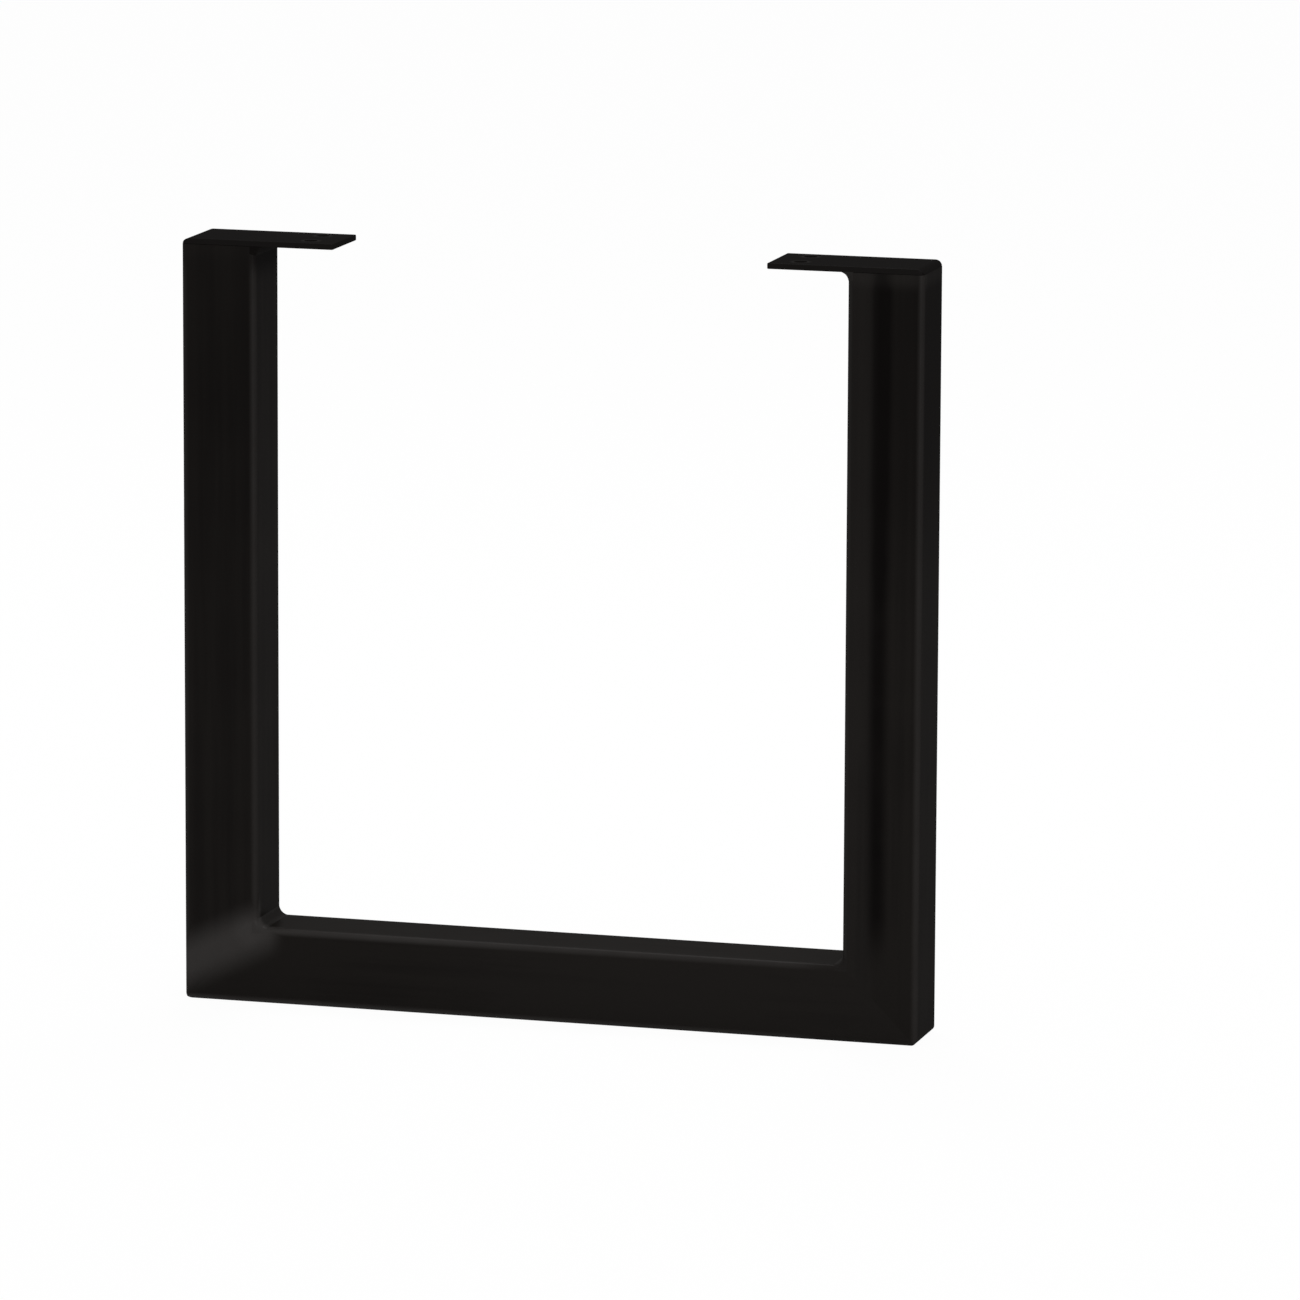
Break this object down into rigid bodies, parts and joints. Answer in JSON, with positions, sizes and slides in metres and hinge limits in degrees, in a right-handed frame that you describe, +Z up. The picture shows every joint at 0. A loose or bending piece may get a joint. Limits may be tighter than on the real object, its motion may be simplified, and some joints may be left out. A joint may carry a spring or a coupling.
{
  "type": "u shaped table leg",
  "caption": "U shaped table leg of mitred square steel tube, with a floor rail, two uprights and a flat screw plate reaching inwards from the top of each upright.",
  "frame": {"origin": "centre of the leg's footprint on the floor: the middle of the floor rail's underside", "axes": "+X along the floor rail towards the right upright, +Y through the leg's depth away from the picture's viewer, +Z up to the mounting plates"},
  "size_m": [0.394, 0.04, 0.4],
  "materials": {
    "black_powder_coat": "satin black powder coat with a very fine even texture"
  },
  "bodies": {
    "root": {"floor_rail": "black_powder_coat", "left_upright": "black_powder_coat", "right_upright": "black_powder_coat", "left_mounting_plate": "black_powder_coat", "right_mounting_plate": "black_powder_coat", "left_corner_weld": "black_powder_coat", "right_corner_weld": "black_powder_coat", "left_plate_weld": "black_powder_coat", "right_plate_weld": "black_powder_coat"}
  },
  "joints": []
}
